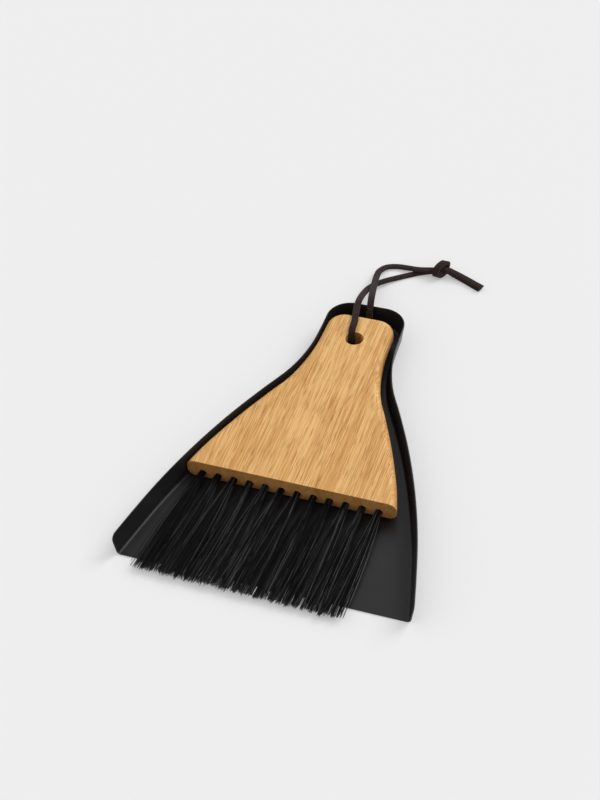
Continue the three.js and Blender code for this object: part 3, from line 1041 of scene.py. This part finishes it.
@dataclass(frozen=True)
class Strap:
    """Flat suede strap, cut square with softened edges."""

    width: float = 4.35 * MM
    thickness: float = 1.4 * MM
    corner: float = 0.45 * MM
    corner_steps: int = 2

    def section(self) -> np.ndarray:
        """Returns the outline of the cut: distance across and distance out of the flat face."""
        points = []
        for quarter, (sx, sy) in enumerate(((1, 1), (-1, 1), (-1, -1), (1, -1))):
            centre = (sx * (self.width / 2 - self.corner), sy * (self.thickness / 2 - self.corner))
            for step in range(self.corner_steps + 1):
                angle = math.pi / 2 * (quarter + step / self.corner_steps)
                round_off = (math.cos(angle), math.sin(angle))
                points.append([c + self.corner * part for c, part in zip(centre, round_off)])
        return np.array(points)

    def along(self, name: str, line: np.ndarray, facing: np.ndarray) -> Piece:
        """Lays a length of strap.

        Args:
            name: The piece's name.
            line: Points of its middle line.
            facing: Which way its flat face looks at each point.

        Returns:
            The strap, closed at both ends.
        """
        ahead = np.gradient(line, axis=0)
        ahead /= np.linalg.norm(ahead, axis=1, keepdims=True)
        out = facing - (facing * ahead).sum(1, keepdims=True) * ahead
        out /= np.linalg.norm(out, axis=1, keepdims=True)
        across = np.cross(ahead, out)
        section = self.section()
        rings = (
            line[:, None]
            + section[None, :, :1] * across[:, None]
            + section[None, :, 1:] * out[:, None]
        )
        sides = len(section)
        faces = [tuple(reversed(range(sides)))]
        for ring in range(len(line) - 1):
            for i in range(sides):
                j = (i + 1) % sides
                low, high = ring * sides, (ring + 1) * sides
                faces.append((low + i, low + j, high + j, high + i))
        faces.append(tuple((len(line) - 1) * sides + i for i in range(sides)))
        piece = from_arrays(name, rings.reshape(-1, 3), faces)
        piece.data.set_sharp_from_angle(angle=SHARP)
        return piece


def smooth_line(points: np.ndarray, steps: int) -> np.ndarray:
    """Draws one smooth line through points, without overshoot where they are uneven.

    Args:
        points: The points to pass through.
        steps: Points for each stretch between two of them.

    Returns:
        The line's points, both ends included.
    """
    padded = np.vstack([2 * points[0] - points[1], points, 2 * points[-1] - points[-2]])
    line = []
    for a, b, c, d in zip(padded, padded[1:], padded[2:], padded[3:]):
        before, here, after = (math.sqrt(np.linalg.norm(q - p)) for p, q in ((a, b), (b, c), (c, d)))
        leave = here * ((b - a) / before - (c - a) / (before + here) + (c - b) / here)
        arrive = here * ((c - b) / here - (d - b) / (here + after) + (d - c) / after)
        square, cube = 3 * (c - b) - 2 * leave - arrive, 2 * (b - c) + leave + arrive
        for step in range(steps):
            t = step / steps
            line.append(b + leave * t + square * t**2 + cube * t**3)
    line.append(points[-1])
    return np.array(line)


Stop = tuple[Triple, Triple]

UP = (0.0, 0.0, 1.0)
DOWN = (0.0, 0.0, -1.0)
HOLE_SIDE = (-0.45, 0.89, 0.0)


@dataclass
class Lace:
    """One suede lace: through the hanging hole, over the rim, and both ends tied in one knot."""

    finish: Suede
    strap: Strap = field(default_factory=Strap)
    steps: int = 6
    exit: Triple = (-4.2 * MM, 192.1 * MM, 9.8 * MM)
    upper_length: float = 0.119
    lower_length: float = 0.139
    knot_centre: Triple = (31.2, 282.0, 4.4)
    # middle line of the doubled lace in the knot, from its centre, and which way its outer face looks
    knot: tuple[Stop, ...] = (
        ((-4.6, -2.7, -0.9), (0, 0, -1)),
        ((-2.2, -1.6, -1.8), (0, 0, -1)),
        ((0.4, 0.5, -2.6), (0, 0, -1)),
        ((2.2, 3.6, -2.2), (0, 0.45, -1)),
        ((2.8, 5.6, 0.1), (0.1, 1, 0)),
        ((1.6, 3.8, 2.2), (0, 0.5, 1)),
        ((-0.1, 0.2, 2.7), (0, 0, 1)),
        ((-1.8, -3.6, 2.0), (0, -0.5, 1)),
        ((-2.2, -5.8, -0.1), (-0.1, -1, 0)),
        ((-0.9, -5.0, -2.1), (0, -0.5, -1)),
        ((1.0, -2.6, -2.6), (0, 0, -1)),
        ((2.9, -1.2, -1.5), (0, 0, -1)),
        ((4.6, -0.7, -0.4), (0, 0, -1)),
    )
    # from the hanging hole over the block and the rim to the knot, in millimetres
    upper: tuple[Triple, ...] = (
        (-4.2, 192.1, 9.75), (-4.2, 192.1, 13.4), (-4.3, 192.5, 16.6), (-4.6, 195.6, 18.2),
        (-5.2, 202.1, 17.7), (-6.6, 209.5, 17.4), (-8, 216.9, 16.7), (-8.6, 223.2, 16.1),
        (-9.1, 229.4, 14.2), (-9.5, 237.7, 10.6), (-9.3, 246.7, 6.8), (-7, 255.4, 3.7),
        (-2.1, 262.5, 2.1), (4, 268.2, 1.2), (11.4, 273.8, 0.85), (18.1, 277.7, 1.1),
    )
    # from the hanging hole under the handle, up over the rim and to the knot
    lower: tuple[Triple, ...] = (
        (-4.2, 192.1, 9.75), (-4.2, 192.1, 6.2), (-4.2, 192, 3.5), (-4.2, 193.1, 2.1), (-4, 196.2, 2.02),
        (-3.1, 202, 2.05), (-1.4, 208, 2.1), (0.2, 212.6, 3.6), (0.5, 215.2, 8),
        (0.2, 217.6, 13), (-0.3, 221.4, 16.3), (-1.3, 227.1, 17), (-2.7, 234.5, 15),
        (-4.5, 243.5, 11.6), (-6.2, 252.9, 8.4), (-7.7, 262.4, 5.2), (-7.9, 270.8, 2.9),
        (-4.6, 277.4, 1.5), (2.2, 280, 1.3), (9.8, 279.6, 2), (17.5, 278.4, 3.3),
    )
    tail_a: tuple[Triple, ...] = (
        (40.5, 280.9, 3.6), (48.6, 278.4, 2.5), (55.5, 275.2, 2.25), (61.3, 272.4, 2.25),
    )
    tail_b: tuple[Triple, ...] = (
        (40.5, 280.7, 2.0), (48.2, 278, 0.95), (54.8, 274.7, 0.8), (60.3, 271.9, 0.8),
    )

    def build(self) -> list[Piece]:
        """Models the lace, hides the imported lace parts and puts everything on the brush.

        Returns:
            The strands, the knot and the two tails.
        """
        material = self.finish.material()
        outer = self._strand(self.upper, 1, self.tail_b)
        inner = self._strand(self.lower, -1, self.tail_a)
        bury = len(self.knot) - 2
        pieces, paths, wraps = {}, {}, []
        for name, tail, (line, facing), start in (
            ("lace_over", "lace_end_low", outer, len(self.upper)),
            ("lace_under", "lace_end_high", inner, len(self.lower)),
        ):
            enter, leave = (start + 1) * self.steps, (start + bury) * self.steps
            paths[name] = line[: enter + 1]
            pieces[name] = self.strap.along(name, paths[name], facing[: enter + 1])
            wraps.append(self.strap.along(f"{name}_wrap", line[enter : leave + 1], facing[enter : leave + 1]))
            pieces[tail] = self.strap.along(tail, line[leave:], facing[leave:])
            log.info("%s: free length %.4f m", name, self._length(paths[name]))
        pieces["lace_knot_wrap"] = self._joined("lace_knot_wrap", wraps)
        for piece in pieces.values():
            dressed(piece, material)
            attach(piece, "brush")
        self._declare()
        return list(pieces.values())

    def _strand(
        self, route: Sequence[Sequence[float]], side: int, tail: Sequence[Sequence[float]]
    ) -> tuple[np.ndarray, np.ndarray]:
        """Runs one strand from the hole through the knot to its end.

        Args:
            route: Points from the hole to the knot, in millimetres.
            side: 1 for the outer layer in the knot, -1 for the inner one.
            tail: Points after the knot.

        Returns:
            The strand's middle line and the way it faces there.
        """
        centre = np.array(self.knot_centre)
        offset = side * (self.strap.thickness / MM / 2 + 0.03)
        stops = [(np.array(p) + centre, np.array(n, float) / np.linalg.norm(n)) for p, n in self.knot]
        tied = [p + offset * n for p, n in stops]
        points = np.array([*route, *tied, *tail], float) * MM
        facing = [HOLE_SIDE] * 2 + [(-0.3, 0.8, -0.5), (-0.05, 0.25, -1.0)] + [DOWN] * (len(route) - 4)
        facing += [n for _, n in stops] + [DOWN] * len(tail)
        if side < 0:
            facing[2] = HOLE_SIDE
            facing[3:10] = [(-0.3, 0.3, 1), UP, UP, UP, (0, -0.7, 0.7), (0, -1, 0), (0, -0.9, -0.3)]
        line = smooth_line(points, self.steps)
        spots = np.arange(len(line)) / self.steps
        columns = [np.interp(spots, range(len(facing)), [n[axis] for n in facing]) for axis in range(3)]
        return line, np.stack(columns, 1)

    @staticmethod
    def _length(line: np.ndarray) -> float:
        """Returns the length of a line of points."""
        return float(np.linalg.norm(np.diff(line, axis=0), axis=1).sum())

    @staticmethod
    def _joined(name: str, parts: Sequence[Piece]) -> Piece:
        """Joins parts into one piece of that name and returns it."""
        Work.clear()
        for part in parts:
            part.select_set(True)
        bpy.context.view_layer.objects.active = parts[0]
        bpy.ops.object.join()
        return Work(name).piece

    def _declare(self) -> None:
        """Hides the imported lace's strands, knot and tails."""
        strands = (
            ("lace_over", "lace_upper", self.upper_length, ["lace_knot_wrap", "lace_end_low"]),
            ("lace_under", "lace_lower", self.lower_length, ["lace_end_high"]),
        )
        for name, node, length, carried in strands:
            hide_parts(node)
        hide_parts("lace_knot")
        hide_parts("lace_tail_a")
        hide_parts("lace_tail_b")


# anchors


@dataclass
class Staples:
    """Wire anchors at the bottom of the tuft holes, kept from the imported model."""

    finish: DrawnWire
    count: int = 12

    def dress(self) -> int:
        """Gives every staple its finish and returns how many there are."""
        material = self.finish.material()
        for number in range(self.count):
            dressed(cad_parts[f"staple_{number + 1:02d}"], material)
        return self.count


# studio


def direction(turn: float, rise: float) -> Vector:
    """Returns the unit vector turned from -Y about Z and raised from the floor."""
    return Vector((math.sin(turn) * math.cos(rise), -math.cos(turn) * math.cos(rise), math.sin(rise)))


@dataclass
class Studio:
    """Pale floor, soft light from behind on the right, and the camera."""

    place: Triple = (0.192728, -0.441205, 0.628433)
    azimuth: float = math.radians(20.277)
    elevation: float = math.radians(45.25)
    roll: float = math.radians(-3.38)
    lens: float = 64.66
    floor_size: float = 14.0
    sky: float = 0.62
    key_strength: float = 1.3
    key_softness: float = math.radians(32)
    key_azimuth: float = math.radians(146)
    key_elevation: float = math.radians(38)

    def set_camera(self) -> None:
        """Adds the camera and makes it the scene's."""
        back = direction(self.azimuth, self.elevation)
        level = Vector((math.cos(self.azimuth), math.sin(self.azimuth), 0))
        upright = back.cross(level)
        right = math.cos(self.roll) * level + math.sin(self.roll) * upright
        up = math.cos(self.roll) * upright - math.sin(self.roll) * level
        camera = bpy.data.objects.new("camera", bpy.data.cameras.new("camera"))
        camera.data.lens = self.lens
        camera.data.clip_start = 10 * MM
        camera.matrix_world = Matrix.Translation(self.place) @ Matrix((right, up, back)).transposed().to_4x4()
        bpy.context.scene.collection.objects.link(camera)
        bpy.context.scene.camera = camera

    def lay_floor(self) -> None:
        """Lays the floor that the set rests on."""
        Work.clear()
        bpy.ops.mesh.primitive_plane_add(size=self.floor_size)
        floor = Work("studio_floor").piece
        dressed(floor, Backdrop().material())

    def light(self) -> None:
        """Lights the set with a bright surround and one very soft key."""
        scene = bpy.context.scene
        scene.view_settings.view_transform = "Standard"
        scene.world = bpy.data.worlds.new("surround")
        scene.world.use_nodes = True
        surround = scene.world.node_tree.nodes["Background"]
        surround.inputs["Color"].default_value = (1.0, 1.0, 1.0, 1.0)
        surround.inputs["Strength"].default_value = self.sky
        key = bpy.data.objects.new("key", bpy.data.lights.new("key", "SUN"))
        key.data.energy = self.key_strength
        key.data.angle = self.key_softness
        towards = direction(self.key_azimuth, self.key_elevation)
        key.matrix_world = towards.to_track_quat("Z", "Y").to_matrix().to_4x4()
        scene.collection.objects.link(key)


def main() -> None:
    """Builds the studio, the lace, the tray and the brush in order."""
    logging.basicConfig(level=logging.INFO, format="%(name)s %(message)s")
    studio = Studio()
    studio.set_camera()
    studio.lay_floor()
    studio.light()
    bell = Bell()
    block = Block(bell, Bamboo(turn=math.radians(1.05)))
    for piece in Lace(Suede()).build():
        log.info("%s: %d faces", piece.name, len(piece.data.polygons))
    for maker in (Tray(bell, PowderCoat()), block):
        piece = maker.build()
        log.info("%s: %d faces", piece.name, len(piece.data.polygons))
    tufts = TuftRow(block, Filament()).build()
    log.info("%d tufts: %d faces", len(tufts), sum(len(tuft.data.polygons) for tuft in tufts))
    log.info("%d staples dressed", Staples(DrawnWire()).dress())


if __name__ == "__main__":
    main()
